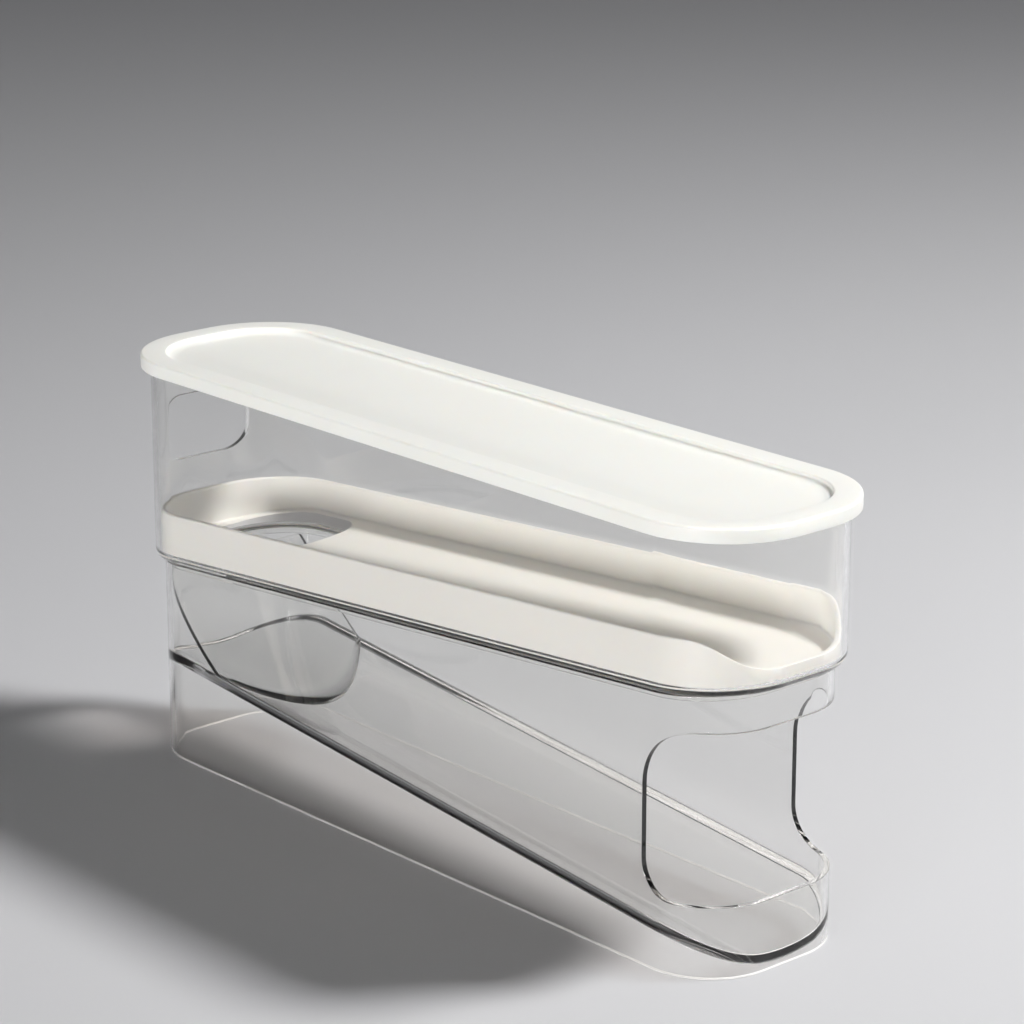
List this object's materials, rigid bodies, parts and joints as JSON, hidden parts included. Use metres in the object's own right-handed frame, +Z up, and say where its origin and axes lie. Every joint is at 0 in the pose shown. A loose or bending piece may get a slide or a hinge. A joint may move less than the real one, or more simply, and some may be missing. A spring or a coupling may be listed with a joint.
{
  "type": "sliding egg holder",
  "caption": "Clear rolling egg holder with a lift-off lid: a sloping white tray in the upper box feeds the ramp in the box below, which ends in an open cup at the front.",
  "frame": {"origin": "centre of the footprint, on the surface the holder stands on", "axes": "+X towards the open cup at the front, +Z up, the holder is symmetric about Y = 0"},
  "size_m": [0.326, 0.084, 0.1552],
  "materials": {
    "clear_plastic": "clear, polished mould finish",
    "white_plastic": "warm white, fine satin mould finish"
  },
  "bodies": {
    "lower": {"lower_housing": "clear_plastic", "rear_guide": "clear_plastic"},
    "upper": {"upper_housing": "clear_plastic"},
    "tray": {"egg_tray": "white_plastic"},
    "cover": {"lid": "white_plastic"}
  },
  "joints": [
    {"name": "upper_housing_lift", "type": "slide", "parent": "lower", "child": "upper", "axis": [0, 0, 1], "range_m": [0, 0.06]},
    {"name": "lid_lift", "type": "slide", "parent": "upper", "child": "cover", "axis": [0, 0, 1], "range_m": [0, 0.06]},
    {"name": "egg_tray_lift", "type": "slide", "parent": "upper", "child": "tray", "axis": [0, 0, 1], "range_m": [0, 0.03]}
  ]
}
